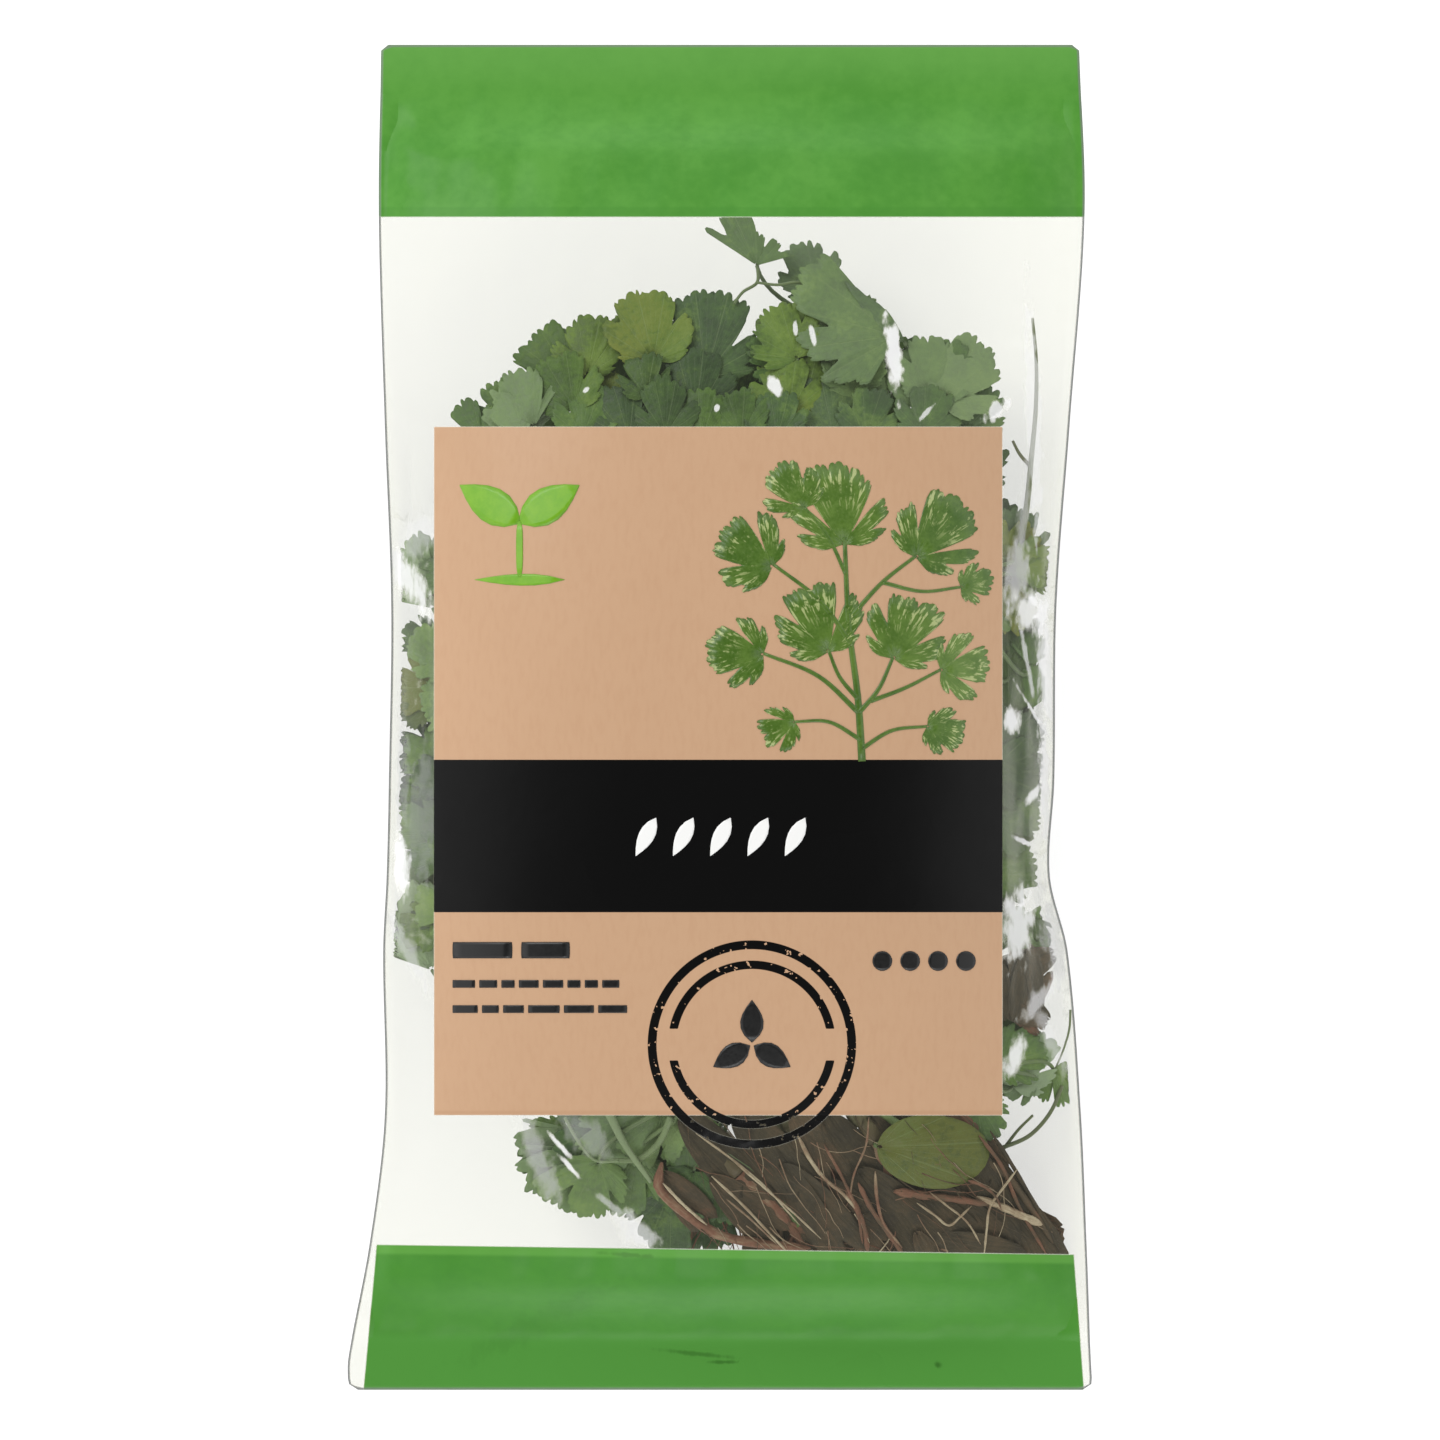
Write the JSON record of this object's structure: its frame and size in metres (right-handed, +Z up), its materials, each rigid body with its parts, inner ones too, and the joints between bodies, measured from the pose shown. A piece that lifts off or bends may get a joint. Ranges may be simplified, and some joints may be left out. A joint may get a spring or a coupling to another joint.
{
  "type": "coriander bunch",
  "caption": "Fresh coriander with its roots on, lying in a clear welded film bag that is flat at both ends and pillowed between",
  "frame": {"origin": "on the table under the middle of the bag, at the bottom of its bounding box", "axes": "+X to the bag's right, +Y towards its head end, +Z up out of its front"},
  "size_m": [0.166, 0.3, 0.0459],
  "materials": {
    "film": "clear glossy film",
    "leaf": "soft matte leaf",
    "root": "dry fibrous root"
  },
  "bodies": {
    "root": {"film_back": "film", "film_front": "film", "plant_01_leaves": "leaf", "plant_01_root": "root", "plant_02_leaves": "leaf", "plant_02_root": "root", "plant_03_leaves": "leaf", "plant_03_root": "root", "plant_04_leaves": "leaf", "plant_04_root": "root", "plant_05_leaves": "leaf", "plant_05_root": "root", "plant_06_leaves": "leaf", "plant_06_root": "root", "plant_07_leaves": "leaf", "plant_07_root": "root", "plant_08_leaves": "leaf", "plant_08_root": "root", "plant_09_leaves": "leaf", "plant_09_root": "root", "plant_10_leaves": "leaf", "plant_10_root": "root"}
  },
  "joints": []
}
